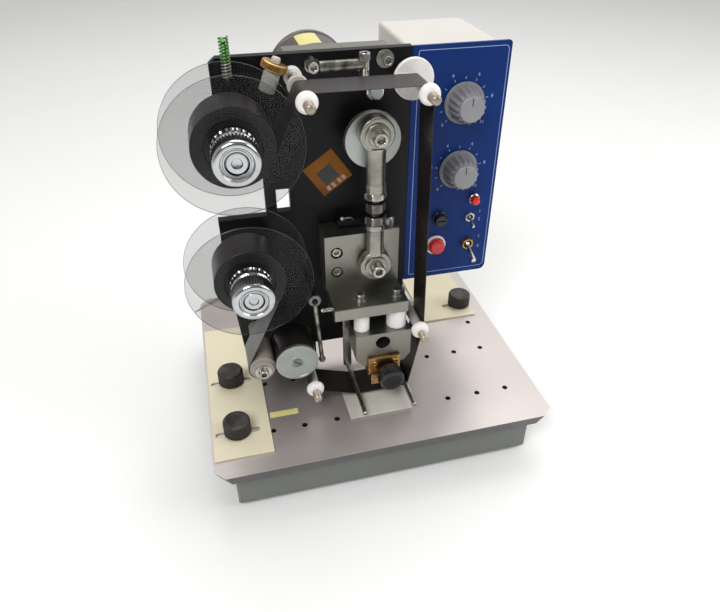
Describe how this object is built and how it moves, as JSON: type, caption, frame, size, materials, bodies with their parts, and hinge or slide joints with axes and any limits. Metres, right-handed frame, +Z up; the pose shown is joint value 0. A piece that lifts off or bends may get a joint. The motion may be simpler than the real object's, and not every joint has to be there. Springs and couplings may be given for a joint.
{
  "type": "ribbon date coder",
  "caption": "Bench ribbon date coder: steel base, upright plate, cranked hot-stamp head, ribbon reels and rollers, product guides and a control box with dials and switches.",
  "frame": {"origin": "centre of the base footprint, on the plane of the feet", "axes": "+X to the control box side, +Y to the back, +Z up; the upright plate faces -Y"},
  "size_m": [0.35, 0.3, 0.424],
  "materials": {
    "grey": "satin paint",
    "brushed": "brushed",
    "black": "satin paint",
    "cream": "satin paint",
    "blue": "printed film",
    "steel": "machined",
    "chrome": "polished",
    "alu": "machined",
    "brass": "knurled",
    "rubber": "matt",
    "blackplastic": "matt",
    "nylon": "matt",
    "silicone": "matt",
    "clear": "clear",
    "foil": "glossy",
    "greyknob": "matt",
    "red": "glossy",
    "board": "coated",
    "springgreen": "gloss paint",
    "iron": "laminated core"
  },
  "bodies": {
    "frame": {"base_box": "grey", "base_top": "brushed", "bottom_cover": "grey", "foot_fl": "rubber", "foot_fr": "rubber", "foot_bl": "rubber", "foot_br": "rubber", "transformer": "iron", "anvil_pad": "nylon", "faceplate": "black", "plate_bracket": "steel", "control_box": "cream", "power_inlet": "blackplastic", "circuit_board": "board", "control_panel": "blue", "lamp": "red", "fuse_holder": "blackplastic", "gearbox": "alu", "gear_motor": "grey", "stripper_left": "steel", "stripper_right": "steel", "post_top_left": "nylon", "post_top_right": "nylon", "post_bottom_left": "nylon", "post_bottom_right": "nylon", "ribbon_web": "foil", "brake_stem": "nylon", "brake_spring": "springgreen"},
    "guide_left_body": {"guide_left": "cream"},
    "guide_right_body": {"guide_right": "cream"},
    "thumb_knob_1": {"guide_knob_1": "blackplastic"},
    "thumb_knob_2": {"guide_knob_2": "blackplastic"},
    "thumb_knob_3": {"guide_knob_3": "blackplastic"},
    "upper_dial": {"dial_upper": "greyknob"},
    "lower_dial": {"dial_lower": "greyknob"},
    "main_switch": {"toggle_main": "chrome"},
    "small_switch": {"toggle_mini": "chrome"},
    "button": {"push_button": "red"},
    "crank": {"crank_disc": "steel"},
    "head": {"head_carriage": "alu", "hot_block": "alu", "wrist_pin": "chrome"},
    "connecting_rod": {"conrod": "steel", "crank_pin": "chrome"},
    "type_drawer": {"type_holder": "brass"},
    "supply_reel": {"supply_shaft": "chrome", "supply_disc_back": "clear", "supply_disc_front": "clear", "supply_roll": "foil"},
    "supply_lock_nut": {"supply_nut": "chrome"},
    "takeup_reel": {"takeup_shaft": "chrome", "takeup_disc_back": "clear", "takeup_disc_front": "clear", "takeup_roll": "foil"},
    "takeup_lock_nut": {"takeup_nut": "chrome"},
    "feed": {"feed_roller": "rubber"},
    "pinch": {"pinch_roller": "silicone"},
    "link_rod": {"advance_rod": "steel"},
    "brake_thumb_nut": {"brake_nut": "brass"}
  },
  "joints": [
    {"name": "guide_left_slide", "type": "slide", "parent": "frame", "child": "guide_left_body", "axis": [1, 0, 0], "range_m": [-0.018, 0.018]},
    {"name": "guide_right_slide", "type": "slide", "parent": "frame", "child": "guide_right_body", "axis": [1, 0, 0], "range_m": [-0.005, 0.014]},
    {"name": "thumb_knob_1_turn", "type": "hinge", "parent": "frame", "child": "thumb_knob_1", "pos_m": [-0.148, -0.019, 0.0666], "axis": [0, 0, 1], "range_deg": [-180, 180]},
    {"name": "thumb_knob_2_turn", "type": "hinge", "parent": "frame", "child": "thumb_knob_2", "pos_m": [-0.148, -0.095, 0.0666], "axis": [0, 0, 1], "range_deg": [-180, 180]},
    {"name": "thumb_knob_3_turn", "type": "hinge", "parent": "frame", "child": "thumb_knob_3", "pos_m": [0.147, 0.056, 0.0666], "axis": [0, 0, 1], "range_deg": [-180, 180]},
    {"name": "upper_dial_turn", "type": "hinge", "parent": "frame", "child": "upper_dial", "pos_m": [0.1028, -0.0053, 0.3515], "axis": [0, -1, 0], "range_deg": [-135, 135]},
    {"name": "lower_dial_turn", "type": "hinge", "parent": "frame", "child": "lower_dial", "pos_m": [0.1028, -0.0053, 0.2845], "axis": [0, -1, 0], "range_deg": [-135, 135]},
    {"name": "main_switch_flip", "type": "hinge", "parent": "frame", "child": "main_switch", "pos_m": [0.121, -0.0055, 0.197], "axis": [1, 0, 0], "range_deg": [-48, 0]},
    {"name": "small_switch_flip", "type": "hinge", "parent": "frame", "child": "small_switch", "pos_m": [0.1208, -0.0053, 0.229], "axis": [1, 0, 0], "range_deg": [-48, 0]},
    {"name": "button_press", "type": "slide", "parent": "frame", "child": "button", "axis": [0, 1, 0], "range_m": [0, 0.0022], "stiffness_N_per_m": 600},
    {"name": "head_slide", "type": "slide", "parent": "frame", "child": "head", "axis": [0, 0, -1], "range_m": [0, 0.02]},
    {"name": "crank_turn", "type": "hinge", "parent": "frame", "child": "crank", "pos_m": [0.0075, -0.033, 0.334], "axis": [0, 1, 0], "range_deg": [0, 180]},
    {"name": "rod_swing", "type": "hinge", "parent": "head", "child": "connecting_rod", "pos_m": [0.0075, -0.0425, 0.2105], "axis": [0, 1, 0], "range_deg": [-4.6, 4.6]},
    {"name": "type_drawer_pull", "type": "slide", "parent": "head", "child": "type_drawer", "axis": [0, -1, 0], "range_m": [0, 0.036]},
    {"name": "supply_reel_spin", "type": "hinge", "parent": "frame", "child": "supply_reel", "pos_m": [-0.1165, -0.0575, 0.355], "axis": [0, 1, 0], "continuous": true},
    {"name": "supply_nut_turn", "type": "hinge", "parent": "supply_reel", "child": "supply_lock_nut", "pos_m": [-0.1165, -0.0884, 0.355], "axis": [0, 1, 0], "range_deg": [-180, 180]},
    {"name": "takeup_reel_spin", "type": "hinge", "parent": "frame", "child": "takeup_reel", "pos_m": [-0.1165, -0.0575, 0.229], "axis": [0, 1, 0], "continuous": true},
    {"name": "takeup_nut_turn", "type": "hinge", "parent": "takeup_reel", "child": "takeup_lock_nut", "pos_m": [-0.1165, -0.0884, 0.229], "axis": [0, 1, 0], "range_deg": [-180, 180]},
    {"name": "feed_roller_spin", "type": "hinge", "parent": "frame", "child": "feed", "pos_m": [-0.0808, -0.0575, 0.1305], "axis": [0, 1, 0], "continuous": true},
    {"name": "pinch_roller_spin", "type": "hinge", "parent": "frame", "child": "pinch", "pos_m": [-0.1148, -0.0575, 0.127], "axis": [0, 1, 0], "continuous": true},
    {"name": "link_rod_swing", "type": "hinge", "parent": "frame", "child": "link_rod", "pos_m": [-0.058, -0.0635, 0.192], "axis": [0, 1, 0], "range_deg": [-8, 1.5]},
    {"name": "brake_nut_turn", "type": "hinge", "parent": "frame", "child": "brake_thumb_nut", "pos_m": [-0.079, -0.0168, 0.386], "axis": [0.3746, 0, 0.9272], "range_deg": [-180, 180]}
  ],
  "couplings": [
    {"joint": "crank_turn", "follows": "head_slide", "rad_per_m": 157.03},
    {"joint": "pinch_roller_spin", "follows": "feed_roller_spin", "ratio": -1.4737}
  ]
}
